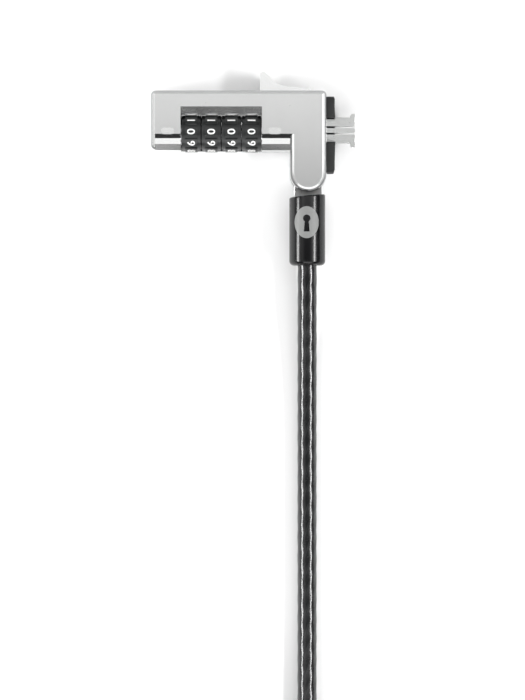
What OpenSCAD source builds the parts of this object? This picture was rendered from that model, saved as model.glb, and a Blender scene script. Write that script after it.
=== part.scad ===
// Laptop cable lock: an L-shaped combination lock head with four dials, a thumb slider,
// two spreading jaws for a 7 x 3 mm security slot, and a pivoting steel cable with an eye loop.
// Millimetres, +Z up. The head lies on its back: z = 0 is the back face, x = 0 is the middle
// of the bar, y = 0 is the dial axis, +X points out of the jaws.

/* [Lock head] */
// Length of the bar
head_len = 45; // [44.5:0.5:46]
// Height of the bar's top face above the dial axis
bar_top = 10.6; // [10.4:0.1:11]
// Depth of the bar's bottom face below the dial axis
bar_bottom = 4.6; // [4.5:0.1:4.8]
// Thickness of the head, back cover included
head_t = 11.2; // [11.2:0.1:11.8]
// Width of the leg that carries the cable
leg_w = 9.4; // [9.2:0.1:10]
// Distance of the cable pivot below the dial axis
pivot_drop = 10.6; // [10.4:0.1:12]
// Radius of the outer corners
corner_r = 1.3; // [1.2:0.1:1.5]
// Radius of the rounded front edge
edge_r = 1.1; // [0.8:0.1:1.1]
// Thickness of the back cover
cover_t = 0.8; // [0.6:0.1:0.8]

/* [Dials] */
// Number of dials
dial_count = 4; // [4:1:4]
// Distance from one dial to the next
dial_pitch = 5.15; // [5.1:0.05:5.2]
// Width of a dial
dial_w = 4.75; // [4.6:0.05:4.8]
// Radius over the numbered pads
dial_r = 5; // [4.9:0.05:5.05]
// Radius of the drum between the pads
drum_r = 4.55; // [4.4:0.05:4.6]
// Width of a numbered pad
pad_w = 3.1; // [2.8:0.1:3.3]
// Middle of the dial stack along the bar
dials_x = -4.45; // [-4.5:0.05:-4.4]

/* [Locking tip] */
// Height of the tip's centreline above the dial axis
tip_y = 0.6; // [0.5:0.1:0.7]
// Reach of the jaws past the end of the head
tip_reach = 7.5; // [7.4:0.1:8]
// Thickness of the jaws across the slot's short side
jaw_t = 2.6; // [2.4:0.1:2.7]
// Travel of the thumb slider
slide_travel = 5; // [4.8:0.1:5]

/* [Rubber pad] */
// Thickness of the pad
rubber_t = 2.2; // [2:0.1:2.4]
// Length of the pad along the head's end face
rubber_len = 19.4; // [19:0.1:19.8]

/* [Cable] */
// Diameter of the cable over its jacket
cable_d = 5; // [4.8:0.1:5]
// Radius of the moulded sleeve
sleeve_r = 4.62; // [4.6:0.01:4.7]
// Distance of the sleeve's lower end below the dial axis
sleeve_end = 34.1; // [33:0.1:36]
// Width of the strap that ties the stored cable
strap_w = 12; // [10:1:14]

/* [Hidden] */
$fn = 64;

// Head: end face, leg middle, and the levels through the thickness
end_x = head_len / 2;
leg_x = end_x - leg_w / 2;
leg_r = leg_w / 2;
pivot_y = -pivot_drop;
mid_z = head_t / 2;
dial_z = 6.1;
wall = 1.2;
gap = 0.05;
over = 1;

// Dial window and the bore that the dials turn in
stack_len = (dial_count - 1) * dial_pitch + dial_w;
window_l = dials_x - stack_len / 2 - 0.3;
window_r = dials_x + stack_len / 2 + 0.3;
dial_bore_r = 5.3;
window_top = 4.15;
recess_top = 6.45;
recess_z = 9.4;

// Stepped strip along the bar's lower front edge, as [y, z] points from the face down
strip_points = [[-0.55, head_t], [-1.65, 10.25], [-3.1, 9.9], [-bar_bottom, 8.4]];
mark_offset = 13.7;

// Code train: spindle, clutch rings and their gates
spindle_r = 1.2;
ring_bore_r = spindle_r + gap;
ring_r = 3.3;
ring_t = 2;
ring_shift = -0.3;
fin_r = 2.2;
fin_w = 0.8;
fin_t = 1;
fin_gap = 0.3;
gate_r = 2.35;
gate_w = 1;
hub_r = 3.35;
hub_step = 0.12;
spindle_l = -15.9;

// Chamber of the slide carriage, and the carriage
chamber_l = window_r + 1.15;
chamber_r = 17.6;
chamber_z = 8.2;
channel_l = -4.1;
channel_y = 5.9;
carriage_l = chamber_l + slide_travel + 0.2;
carriage_r = chamber_r - gap;
arm_l = 10.5;
arm_y = 6.1;
arm_top = 9.2;
neck_l = 10.7;
neck_r = 13.2;
neck_t = 2.2;
nut_l = carriage_l + 1.6;
nut_t = 1.3;

// Nose block, jaws and spreader
block_l = 18.85;
block_half = 3.6;
block_top = 8.35;
pin_x = 21.1;
pin_off = 2.1;
pin_r = 0.5;
eye_ring_r = 1;
jaw_in = 1.05;
jaw_root = 2.95;
jaw_out = 3.28;
hook_out = 4.3;
hook_t = 1.3;
tip_x = end_x + tip_reach;
hook_l = tip_x - hook_t;
blade_l = end_x + rubber_t + 0.1;
slot_gap = 0.1;
spreader_half = 0.6;
spreader_t = 2.2;

// Slide spring
spring_y = 7.6;
spring_r = 1.2;
spring_wire = 0.35;
spring_turns = 9;

// Reset screw
reset_x = 4.25;
reset_y = 7.75;
reset_r = 1.2;
reset_head_r = 1.9;

// Cover screws, as [x, y]
screw_places = [[-20.2, 8.2], [-20.2, -2.9], [-9.5, 8], [20, 8.2], [leg_x, -4.9]];
screw_r = 0.6;
screw_head_r = 1.25;
screw_deep = 3.6;

// Cable end: tongue, rivet, ferrule and sleeve share one line below the leg
cable_x = 17.6;
tongue_w = 7;
tongue_t = 2.4;
tongue_step = -17.4;
tongue_end = -23;
ferrule_top = -18.8;
ferrule_end = -31;
ferrule_r = 3.3;
rivet_y = -20.9;
sleeve_top = -16.2;
sleeve_tilt = 5.4;
leg_slot_top = -6.7;
leg_slot_t = tongue_t + 0.2;

// Stored cable: a flat hank with two tracks side by side in three layers, tied with a strap
track_out = 20;
track_in = 15;
hank_x = cable_x - track_out;
hank_top = -173;
hank_run = 85;
hank_z = 0.4;
hank_h = 3 * cable_d;
strap_y = -255;
strap_t = 0.35;

// Route of the free cable, as [distance from the exit line, y, z]
run_route = [
    [0, -31, 5.6], [0, -37, 5.5], [0, -45, 5], [0, -55, 3.9], [0, -65, 3], [0, -76, 2.6],
    [0, -90, 2.5], [0, -104, 2.5], [0, -118, 2.5], [0, -132, 2.5], [0, -146, 2.6], [0, -160, 2.8],
    [0, -173, 2.9]
];
tail_route = [
    [-35, -251, 12.9], [-35, -240, 13.2], [-35, -227, 14.8], [-35, -214, 16.8], [-35, -201, 18.3],
    [-35, -190, 18.5], [-35, -180, 18.5], [-34.4, -171, 18.5], [-31.3, -164, 18.5], [-26, -159.5, 18.5],
    [-17.5, -157.5, 18.5], [-9, -159.5, 18.5], [-3.7, -164, 18.5], [-0.6, -171, 18.5], [-0.8, -180, 18.5],
    [-3.5, -187, 18.5], [-7.9, -194, 18.5], [-12.6, -201, 18.5], [-16.2, -207.5, 18.5],
    [-17.35, -214, 18.5], [-17.35, -226, 18.5], [-15.2, -234, 18.5], [-9, -242.5, 18.5],
    [-2.5, -250, 18.5], [0.3, -259, 18.5], [-1.5, -268, 18.5], [-7.5, -275.5, 18.5], [-16, -279.8, 18.5],
    [-24, -279.8, 18.5], [-32.5, -275.5, 18.5], [-38.5, -268, 18.5], [-40.3, -259, 18.5],
    [-37.5, -250, 18.5], [-31, -242.5, 18.5], [-24.8, -234, 18.5], [-22.65, -226, 18.5],
    [-22.65, -218, 18.5], [-22.65, -210.5, 18.5]
];
crimp_near = cable_x - 17.35;
crimp_far = cable_x - 22.65;
crimp_top = -210;
crimp_len = 16;
crimp_r = 3;
crimp_z = 18.5;

function dial_x(i) = dials_x + (i - (dial_count + 1) / 2) * dial_pitch;

// Smooth curve through a route's points, with steps rings between two points
function blend(a, b, c, d, t) = 0.5 * (2 * b + (c - a) * t + (2 * a - 5 * b + 4 * c - d) * t * t
    + (3 * b - a - 3 * c + d) * t * t * t);
function place(p) = [cable_x + p[0], p[1], p[2]];
function curve(route, steps) = let (n = len(route) - 1) [
    for (i = [0 : n - 1], s = [0 : steps - 1])
        blend(place(route[max(i - 1, 0)]), place(route[i]), place(route[i + 1]),
            place(route[min(i + 2, n)]), s / steps),
    place(route[n])
];
function unit(v) = v / norm(v);
function heading(line, i) = unit(line[min(i + 1, len(line) - 1)] - line[max(i - 1, 0)]);
function ring_points(line, i, r, sides) = let (
    along = heading(line, i),
    side = unit(cross(along, [0, 0, 1])),
    up = cross(side, along)
) [for (k = [0 : sides - 1]) line[i] + r * (cos(360 * k / sides) * side + sin(360 * k / sides) * up)];

// Closed tube along a line of ring centres
module tube(line, r, sides) {
    n = len(line);
    points = [for (i = [0 : n - 1]) each ring_points(line, i, r, sides)];
    walls = [for (i = [0 : n - 2], k = [0 : sides - 1]) let (next = (k + 1) % sides)
        [i * sides + k, i * sides + next, (i + 1) * sides + next, (i + 1) * sides + k]];
    first = [for (k = [0 : sides - 1]) sides - 1 - k];
    last = [for (k = [0 : sides - 1]) (n - 1) * sides + k];
    polyhedron(points, concat(walls, [first, last]), convexity = 6);
}

// Cylinders along X and Y
module rod_x(r, x0, x1, y = 0, z = 0) {
    translate([x0, y, z]) rotate([0, 90, 0]) cylinder(r = r, h = x1 - x0);
}
module rod_y(r, y0, y1, x = 0, z = 0) {
    translate([x, y0, z]) rotate([-90, 0, 0]) cylinder(r = r, h = y1 - y0);
}
module rod_z(r, x, y, z0, z1) {
    translate([x, y, z0]) cylinder(r = r, h = z1 - z0);
}
module block(x0, x1, y0, y1, z0, z1) {
    translate([x0, y0, z0]) cube([x1 - x0, y1 - y0, z1 - z0]);
}

// Outlines of the bar and of the leg, drawn in by inset
module bar_outline(inset) {
    r = corner_r - inset;
    for (x = [-end_x + corner_r, end_x - corner_r], y = [-bar_bottom + corner_r, bar_top - corner_r]) {
        translate([x, y]) circle(r = r, $fn = 32);
    }
}
module leg_outline(inset) {
    r = corner_r - inset;
    translate([leg_x, pivot_y]) circle(r = leg_r - inset, $fn = 64);
    for (x = [leg_x - leg_r + corner_r, end_x - corner_r]) {
        translate([x, bar_top - corner_r]) circle(r = r, $fn = 32);
    }
}
// One body of the head: straight sides, then a rounded front edge
module head_solid(is_bar) {
    hull() {
        for (turn = [0 : 30 : 90]) {
            inset = edge_r * (1 - cos(turn));
            bottom = turn == 0 ? cover_t : head_t - edge_r;
            top = head_t - edge_r + edge_r * sin(turn);
            translate([0, 0, bottom]) linear_extrude(top - bottom) {
                if (is_bar) {
                    bar_outline(inset);
                } else {
                    leg_outline(inset);
                }
            }
        }
    }
}

module strip_cut() {
    above = head_t + over;
    cut = concat([[strip_points[0][0], above]], strip_points,
        [[-bar_bottom - over, strip_points[3][1]], [-bar_bottom - over, above]]);
    translate([-end_x + edge_r, 0, 0]) rotate([90, 0, 90])
        linear_extrude(leg_x - 3 + end_x - edge_r) polygon(cut);
}

module index_mark(x) {
    for (side = [-1, 1]) {
        rod_z(0.85, x + side * 0.85, 0.15, head_t - over, head_t + 0.25);
    }
    block(x - 0.85, x + 0.85, -0.7, 1, head_t - over, head_t + 0.25);
}

module window_cut() {
    rod_x(dial_bore_r, window_l, window_r, 0, dial_z);
    block(window_l, window_r, -bar_bottom - over, window_top, dial_z, head_t + over);
    translate([window_l, 0, 0]) rotate([90, 0, 90]) linear_extrude(window_r - window_l)
        polygon([[window_top - over, recess_z], [window_top, recess_z], [recess_top, head_t],
            [recess_top, head_t + over], [window_top - over, head_t + over]]);
}

module chamber_cut() {
    block(chamber_l, chamber_r, -2.5, bar_top - wall, 0, chamber_z);
    block(channel_l, chamber_r, channel_y, bar_top - wall, 0, chamber_z);
    block(chamber_r - over, block_l, tip_y - 1.3, tip_y + 1.3, 0, chamber_z - 1);
    block(block_l - gap, end_x + over, tip_y - block_half - gap, tip_y + block_half + gap,
        0, block_top + gap);
    block(neck_l - slide_travel - 0.15, neck_r + 0.15, bar_top - wall - over, bar_top + over,
        mid_z - neck_t / 2 - 0.15, mid_z + neck_t / 2 + 0.15);
    rod_x(2.4, window_r - over, chamber_l + over, 0, dial_z);
    rod_x(2.8, -end_x + wall, window_l + over, 0, dial_z);
}

module leg_cut() {
    block(leg_x - leg_r - over, end_x + over, pivot_y - leg_r - over, leg_slot_top,
        mid_z - leg_slot_t / 2, mid_z + leg_slot_t / 2);
    rod_z(1.5, leg_x, pivot_y, 0, head_t - wall);
}

module detent_pocket() {
    block(window_l + 0.4, window_r - 0.4, 4.6, 5.72, 3.2, 9);
}

module housing() {
    color([0.8, 0.81, 0.82]) difference() {
        union() {
            difference() {
                head_solid(true);
                strip_cut();
            }
            head_solid(false);
            for (side = [-1, 1]) {
                index_mark(dials_x + side * mark_offset);
            }
        }
        window_cut();
        chamber_cut();
        leg_cut();
        detent_pocket();
        for (p = screw_places) {
            rod_z(screw_r, p[0], p[1], 0, screw_deep);
        }
    }
}

module back_cover() {
    color([0.62, 0.63, 0.65]) difference() {
        union() {
            for (x = [-end_x + corner_r, end_x - corner_r],
                y = [-bar_bottom + corner_r, bar_top - corner_r]) {
                rod_z(corner_r, x, y, 0, cover_t);
            }
            block(-end_x, end_x, -bar_bottom + corner_r, bar_top - corner_r, 0, cover_t);
            block(-end_x + corner_r, end_x - corner_r, -bar_bottom, bar_top, 0, cover_t);
            block(leg_x - leg_r, end_x, pivot_y, 0, 0, cover_t);
            rod_z(leg_r, leg_x, pivot_y, 0, cover_t);
        }
        for (p = screw_places) {
            rod_z(screw_head_r + gap, p[0], p[1], -over, cover_t + over);
        }
        rod_z(reset_head_r + gap, reset_x, reset_y, -over, 0.45);
        rod_z(reset_r + gap, reset_x, reset_y, -over, cover_t + over);
        rod_z(1.5, leg_x, pivot_y, -over, cover_t + over);
    }
}

module cover_screw() {
    difference() {
        union() {
            cylinder(r = screw_head_r, h = cover_t);
            cylinder(r = screw_r - 0.02, h = screw_deep - 0.2);
        }
        for (turn = [0, 90]) {
            rotate(turn) block(-0.8, 0.8, -0.18, 0.18, -over, 0.45);
        }
    }
}

module cover_screws() {
    color([0.5, 0.5, 0.52]) for (p = screw_places) {
        translate([p[0], p[1], 0]) cover_screw();
    }
}

module rubber_pad() {
    y0 = 9.1 - rubber_len;
    y1 = 9.1;
    color([0.14, 0.14, 0.15]) difference() {
        union() {
            block(end_x, end_x + rubber_t, y0 + 1, y1 - 1, 1.2, 10);
            block(end_x, end_x + rubber_t, y0, y1, 2.2, 9);
            for (y = [y0 + 1, y1 - 1], z = [2.2, 9]) {
                rod_x(1, end_x, end_x + rubber_t, y, z);
            }
        }
        block(end_x - over, end_x + rubber_t + over, tip_y - 3.15, tip_y + 3.15, 3.8, 10 + over);
    }
}

module nose_block() {
    color([0.66, 0.67, 0.69]) difference() {
        block(block_l, end_x, tip_y - block_half, tip_y + block_half, cover_t, block_top);
        block(block_l - over, end_x + over, tip_y - 3.2, tip_y + 3.2, mid_z - jaw_t / 2 - slot_gap,
            mid_z + jaw_t / 2 + slot_gap);
        block(block_l - over, 20.2, tip_y - 1.4, tip_y + 1.4, 3.85, 5);
        for (side = [-1, 1]) {
            rod_z(pin_r, pin_x, tip_y + side * pin_off, 2.2, block_top - 0.2);
        }
    }
}

module jaw_pins() {
    color([0.72, 0.72, 0.74]) for (side = [-1, 1]) {
        rod_z(pin_r, pin_x, tip_y + side * pin_off, 2.2, block_top - 0.2);
    }
}

module jaw_spring() {
    color([0.55, 0.56, 0.6]) for (side = [-1, 1]) {
        block(block_l + 0.2, 19.9, tip_y + side * 1.12 - 0.11, tip_y + side * 1.12 + 0.11, 4.05, 6.8);
    }
    color([0.55, 0.56, 0.6]) block(block_l + 0.2, 19.9, tip_y - 1.23, tip_y + 1.23, 3.95, 4.2);
}

// Jaw above (side 1) or below (side -1) the tip's centreline
module jaw(side) {
    translate([0, tip_y, 0]) scale([1, side, 1]) difference() {
        union() {
            rod_z(eye_ring_r, pin_x, pin_off, mid_z - jaw_t / 2, mid_z + jaw_t / 2);
            translate([0, 0, mid_z - jaw_t / 2]) linear_extrude(jaw_t) polygon([
                [pin_x, pin_off - eye_ring_r + 0.05], [pin_x + 0.6, jaw_in], [tip_x - 0.3, jaw_in],
                [tip_x, jaw_in + 0.3], [tip_x, hook_out - 0.3], [tip_x - 0.3, hook_out],
                [hook_l + 0.3, hook_out], [hook_l, hook_out - 0.35],
                [hook_l - 0.1, jaw_out], [blade_l, jaw_out],
                [blade_l - 0.2, jaw_root], [pin_x, jaw_root]]);
            block(block_l + 0.3, pin_x, pin_off - 0.8, pin_off + 0.6, mid_z - jaw_t / 2, mid_z + jaw_t / 2);
        }
        rod_z(pin_r + 0.06, pin_x, pin_off, 0, head_t);
    }
}

module upper_jaw() {
    color([0.7, 0.71, 0.71]) jaw(1);
}

module lower_jaw() {
    color([0.7, 0.71, 0.71]) jaw(-1);
}

module gate(x0, x1) {
    block(x0, x1, 0, gate_r, dial_z - gate_w / 2, dial_z + gate_w / 2);
}

module bush_left() {
    x0 = window_l - 1.1;
    color([0.78, 0.65, 0.35]) difference() {
        rod_x(2.8, x0, window_l, 0, dial_z);
        rod_x(ring_bore_r, x0 - over, window_l + over, 0, dial_z);
        gate(x0 - over, window_l + over);
    }
}

module bush_right() {
    color([0.78, 0.65, 0.35]) difference() {
        rod_x(2.4, window_r, chamber_l, 0, dial_z);
        rod_x(ring_bore_r, window_r - over, chamber_l + over, 0, dial_z);
    }
}

module end_washers() {
    color([0.7, 0.7, 0.72]) for (x = [window_l, window_r - 0.12]) {
        difference() {
            rod_x(3.2, x, x + 0.12, 0, dial_z);
            rod_x(gate_r + 0.1, x - over, x + over, 0, dial_z);
        }
    }
}

module detent_spring() {
    color([0.6, 0.61, 0.64]) {
        block(window_l + 0.5, window_r - 0.5, 5.45, 5.7, 3.4, 8.8);
        for (i = [1 : dial_count]) {
            rod_x(0.28, dial_x(i) - 1.2, dial_x(i) + 1.2, 5.32, dial_z);
        }
    }
}

module slide_spring() {
    length = arm_l - gap - (channel_l + gap);
    rings = spring_turns * 12;
    line = [for (i = [0 : rings]) [
        channel_l + gap + spring_wire + (length - 2 * spring_wire) * i / rings,
        spring_y + spring_r * cos(30 * i), mid_z + spring_r * sin(30 * i)]];
    color([0.6, 0.61, 0.64]) tube(line, spring_wire / 2, 6);
}

module swivel_pin() {
    color([0.72, 0.72, 0.74]) rod_z(1.5, leg_x, pivot_y, 0.05, head_t - wall);
}

// Dial: a drum with ten raised number pads, hubs that space it from its neighbours,
// and a toothed bore that carries the clutch ring
module dial(i) {
    x = dial_x(i);
    color([0.17, 0.17, 0.18]) difference() {
        union() {
            rod_x(drum_r, x - dial_w / 2, x + dial_w / 2, 0, dial_z);
            rod_x(hub_r + 0.8, x - dial_w / 2 - hub_step, x + dial_w / 2 + hub_step, 0, dial_z);
            for (n = [0 : 9]) {
                translate([x, 0, dial_z]) rotate([36 * n, 0, 0]) intersection() {
                    block(-pad_w / 2, pad_w / 2, -1.15, 1.15, drum_r - 0.6, dial_r + 1);
                    rod_x(dial_r, -pad_w / 2, pad_w / 2);
                }
            }
        }
        rod_x(hub_r, x - dial_w, x + dial_w, 0, dial_z);
        translate([x, 0, dial_z]) for (n = [0 : 9]) {
            rotate([36 * n, 0, 0]) block(-dial_w, dial_w, -0.35, 0.35, 0, hub_r + 0.4);
        }
    }
}

module dial_1() {
    dial(1);
}

module dial_2() {
    dial(2);
}

module dial_3() {
    dial(3);
}

module dial_4() {
    dial(4);
}

// Clutch ring: turns with its dial through two keys, and lets a spindle fin through its gate
module clutch_ring(i) {
    x0 = dial_x(i) + ring_shift - ring_t / 2;
    color([0.78, 0.65, 0.35]) difference() {
        union() {
            rod_x(ring_r, x0, x0 + ring_t, 0, dial_z);
            translate([x0, 0, dial_z]) for (turn = [36, 216]) {
                rotate([turn, 0, 0]) block(0, ring_t, -0.3, 0.3, 0, ring_r + 0.4);
            }
        }
        rod_x(ring_bore_r, x0 - over, x0 + ring_t + over, 0, dial_z);
        gate(x0 - over, x0 + ring_t + over);
    }
}

module clutch_ring_1() {
    clutch_ring(1);
}

module clutch_ring_2() {
    clutch_ring(2);
}

module clutch_ring_3() {
    clutch_ring(3);
}

module clutch_ring_4() {
    clutch_ring(4);
}

// Side view of the slider: tall lip, hollow ramp, foot and end ridge, as [x, y] points
function ramp() = [for (t = [0 : 15 : 90]) [8.3 + 8.6 * (1 - cos(t)), 11.4 + 2.5 * (1 - sin(t))]];

module thumb_slider() {
    foot = bar_top + gap;
    color([0.8, 0.81, 0.82]) difference() {
        union() {
            translate([0, 0, mid_z - 3.4]) linear_extrude(6.8) polygon(concat(
                [[5.45, foot], [5.45, 15.2], [5.75, 15.5], [6.7, 15.5], [8.3, 13.9]],
                [for (p = ramp()) p],
                [[17.7, 11.1], [18.05, 11.5], [18.4, 11.1], [18.4, foot]]));
            block(neck_l, neck_r, arm_top - 1.6, foot + gap, mid_z - neck_t / 2, mid_z + neck_t / 2);
        }
        block(5, 9, 14, 16, mid_z + 2.8, mid_z + 4);
        block(5, 9, 14, 16, mid_z - 4, mid_z - 2.8);
        rod_z(pin_r, (neck_l + neck_r) / 2, 8.3, 0, head_t);
    }
}

module slider_pin() {
    color([0.72, 0.72, 0.74]) rod_z(pin_r, (neck_l + neck_r) / 2, 8.3, 2.8, chamber_z - 0.4);
}

module slide_carriage() {
    color([0.6, 0.61, 0.63]) difference() {
        union() {
            block(carriage_l, carriage_r, -2.2, arm_y, 3.4, chamber_z - 0.3);
            block(arm_l, carriage_r, arm_y, arm_top, 2.6, chamber_z - 0.3);
            rod_x(0.8, arm_l - 2.5, arm_l, spring_y, mid_z);
        }
        block(neck_l - gap, neck_r + gap, 7.5, arm_top + over,
            mid_z - neck_t / 2 - gap, mid_z + neck_t / 2 + gap);
        rod_z(pin_r, (neck_l + neck_r) / 2, 8.3, 0, head_t);
        rod_x(0.9, carriage_l - over, carriage_r, 0, dial_z);
        block(nut_l - gap, nut_l + nut_t + gap, -3, 1.9, dial_z - 1.9, dial_z + 1.85);
        block(nut_l + nut_t + 0.4, carriage_r + over,
            tip_y - spreader_half - 0.02, tip_y + spreader_half + 0.02,
            mid_z - spreader_t / 2 - 0.02, mid_z + spreader_t / 2 + 0.02);
        rod_y(pin_r, -2.2 - over, 3.4, 16.6, mid_z);
    }
}

module spindle() {
    color([0.72, 0.72, 0.74]) {
        rod_x(spindle_r, spindle_l, carriage_l, 0, dial_z);
        rod_x(0.88, carriage_l - 0.2, nut_l + nut_t + 0.3, 0, dial_z);
        for (i = [1 : dial_count]) {
            x0 = dial_x(i) + ring_shift + ring_t / 2 + fin_gap;
            block(x0, x0 + fin_t, 0, fin_r, dial_z - fin_w / 2, dial_z + fin_w / 2);
        }
    }
}

module spindle_nut() {
    color([0.78, 0.65, 0.35]) difference() {
        translate([nut_l, 0, dial_z]) rotate([0, 90, 0]) cylinder(r = 1.8, h = nut_t, $fn = 6);
        rod_x(0.9, nut_l - over, nut_l + nut_t + over, 0, dial_z);
    }
}

module spreader_bar() {
    x0 = nut_l + nut_t + 0.45;
    color([0.66, 0.67, 0.68]) difference() {
        union() {
            block(x0, tip_x - 0.7, tip_y - spreader_half, tip_y + spreader_half, mid_z - spreader_t / 2,
                mid_z + spreader_t / 2);
            rod_z(spreader_half, tip_x - 0.7, tip_y, mid_z - spreader_t / 2, mid_z + spreader_t / 2);
        }
        rod_y(pin_r, -2, 3, 16.6, mid_z);
    }
}

module spreader_rivet() {
    color([0.72, 0.72, 0.74]) rod_y(pin_r, -2.2, 3.4, 16.6, mid_z);
}

module reset_screw() {
    color([0.5, 0.5, 0.52]) difference() {
        union() {
            rod_z(reset_head_r, reset_x, reset_y, 0, 0.4);
            rod_z(reset_r, reset_x, reset_y, 0, 3.4);
        }
        block(reset_x - 1.4, reset_x + 1.4, reset_y - 0.2, reset_y + 0.2, -over, 0.3);
        block(reset_x - 2, reset_x + 2, reset_y - 2, reset_y - 0.4, 1.1, 4);
    }
}

module swivel_tongue() {
    color([0.6, 0.6, 0.6]) difference() {
        union() {
            rod_z(tongue_w / 2, leg_x, pivot_y, mid_z - tongue_t / 2, mid_z + tongue_t / 2);
            block(leg_x - tongue_w / 2, leg_x + tongue_w / 2, tongue_step, pivot_y, mid_z - tongue_t / 2,
                mid_z + tongue_t / 2);
            block(cable_x - 2.8, cable_x + 2.8, tongue_end, tongue_step + 0.1, mid_z - tongue_t / 2,
                mid_z + tongue_t / 2);
        }
        rod_z(1.56, leg_x, pivot_y, 0, head_t);
        rod_z(0.9, cable_x, rivet_y, 0, head_t);
    }
}

module tongue_rivet() {
    color([0.72, 0.72, 0.74]) rod_z(0.9, cable_x, rivet_y, mid_z - 2.9, mid_z + 2.9);
}

module end_ferrule() {
    color([0.66, 0.67, 0.69]) difference() {
        rod_y(ferrule_r, ferrule_end, ferrule_top, cable_x, mid_z);
        block(cable_x - 4, cable_x + 4, tongue_end - 0.2, ferrule_top + over, mid_z - tongue_t / 2 - 0.02,
            mid_z + tongue_t / 2 + 0.02);
        rod_y(1.9, ferrule_end - over, ferrule_end + 6, cable_x, mid_z);
        rod_z(0.9, cable_x, rivet_y, 0, head_t);
    }
}

module cable_core() {
    color([0.6, 0.6, 0.62]) rod_y(1.88, ferrule_end, ferrule_end + 6, cable_x, mid_z);
}

module cable_sleeve() {
    round_r = 1.2;
    bottom = -sleeve_end;
    color([0.07, 0.07, 0.08]) difference() {
        union() {
            rod_y(sleeve_r, bottom + round_r, sleeve_top + 2, cable_x, mid_z);
            rod_y(sleeve_r - round_r, bottom, bottom + round_r, cable_x, mid_z);
            translate([cable_x, bottom + round_r, mid_z]) rotate([90, 0, 0])
                rotate_extrude() translate([sleeve_r - round_r, 0]) circle(r = round_r);
        }
        translate([cable_x, sleeve_top, mid_z]) rotate(sleeve_tilt) block(-8, 8, 0, 4, -8, 8);
        rod_y(4, -17.9, sleeve_top + 3, cable_x, mid_z);
        rod_y(ferrule_r + 0.06, ferrule_end - 0.05, -17.8, cable_x, mid_z);
        rod_y(cable_d / 2 + 0.1, bottom - over, ferrule_end, cable_x, mid_z);
    }
}

module cable_run() {
    color([0.2, 0.2, 0.21]) tube(curve(run_route, 1), cable_d / 2, 10);
}

// Outer shape of the tied hank: a flat ring with round ends
module hank_outline(r) {
    for (y = [hank_top, hank_top - hank_run]) {
        translate([hank_x, y]) circle(r = r);
    }
    translate([hank_x - r, hank_top - hank_run]) square([2 * r, hank_run]);
}

module cable_hank() {
    half = cable_d / 2;
    color([0.2, 0.2, 0.21]) translate([0, 0, hank_z]) linear_extrude(hank_h) difference() {
        hank_outline(track_out + half);
        hank_outline(track_in - half);
    }
}

module cable_tail() {
    color([0.2, 0.2, 0.21]) tube(curve(tail_route, 1), cable_d / 2, 10);
}

// Crimp that closes the eye loop on the cable
module loop_ferrule() {
    bottom = crimp_top - crimp_len;
    color([0.62, 0.63, 0.65]) difference() {
        union() {
            for (x = [crimp_near, crimp_far]) {
                rod_y(crimp_r, bottom, crimp_top, x, crimp_z);
            }
            block(crimp_far, crimp_near, bottom, crimp_top, crimp_z - crimp_r, crimp_z + crimp_r);
        }
        for (x = [crimp_near, crimp_far]) {
            rod_y(cable_d / 2, bottom - over, crimp_top + over, x, crimp_z);
        }
    }
}

module hank_strap() {
    w = track_out + cable_d / 2 + 0.05;
    color([0.1, 0.1, 0.11]) difference() {
        block(hank_x - w - strap_t, hank_x + w + strap_t, strap_y, strap_y + strap_w, 0,
            hank_z + hank_h + 0.05 + strap_t);
        block(hank_x - w, hank_x + w, strap_y - over, strap_y + strap_w + over,
            strap_t, hank_z + hank_h + 0.05);
    }
}

housing();
back_cover();
cover_screws();
rubber_pad();
nose_block();
jaw_pins();
jaw_spring();
bush_left();
bush_right();
end_washers();
detent_spring();
slide_spring();
swivel_pin();
dial_1();
dial_2();
dial_3();
dial_4();
clutch_ring_1();
clutch_ring_2();
clutch_ring_3();
clutch_ring_4();
thumb_slider();
slider_pin();
slide_carriage();
spindle();
spindle_nut();
spreader_bar();
spreader_rivet();
upper_jaw();
lower_jaw();
reset_screw();
swivel_tongue();
tongue_rivet();
end_ferrule();
cable_core();
cable_sleeve();
cable_run();
cable_hank();
cable_tail();
loop_ferrule();
hank_strap();
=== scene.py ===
"""The looks of a laptop cable lock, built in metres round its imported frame."""

import logging
import math
from dataclasses import dataclass, field
from enum import Enum
from typing import Callable, Mapping, Sequence, Union

import bpy
from mathutils import Matrix, Vector


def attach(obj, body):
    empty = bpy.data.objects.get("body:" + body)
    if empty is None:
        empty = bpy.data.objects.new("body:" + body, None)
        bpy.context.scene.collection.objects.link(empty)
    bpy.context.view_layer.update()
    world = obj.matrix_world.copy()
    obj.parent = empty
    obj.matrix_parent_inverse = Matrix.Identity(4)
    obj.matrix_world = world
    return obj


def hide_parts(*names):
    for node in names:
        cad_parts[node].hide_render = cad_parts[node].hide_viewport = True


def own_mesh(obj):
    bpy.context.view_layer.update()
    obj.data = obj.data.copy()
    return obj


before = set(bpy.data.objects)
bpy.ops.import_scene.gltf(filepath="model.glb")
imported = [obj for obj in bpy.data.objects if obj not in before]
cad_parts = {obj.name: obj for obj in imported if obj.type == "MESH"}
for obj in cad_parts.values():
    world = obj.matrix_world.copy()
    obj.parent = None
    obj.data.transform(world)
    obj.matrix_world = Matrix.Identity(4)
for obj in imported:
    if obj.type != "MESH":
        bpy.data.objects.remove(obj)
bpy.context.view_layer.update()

log = logging.getLogger("cable_lock")
MM = 0.001
STRAIGHT = 0.9  # a direction this much along an axis counts as straight along it
CLOSE = 0.01  # millimetres that count as the same place
WELD_REACH = 0.000002  # metres
EDGE_ANGLE = 38.0  # degrees; a node's edges sharper than this are rounded
Colour = tuple[float, float, float]
Place = tuple[float, float, float]
Span = tuple[float, float]
Number = Union[float, "Wire"]
Piece = bpy.types.Object
Material = bpy.types.Material
Socket = bpy.types.NodeSocket
Choice = Callable[[Vector, Vector], bool]


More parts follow.
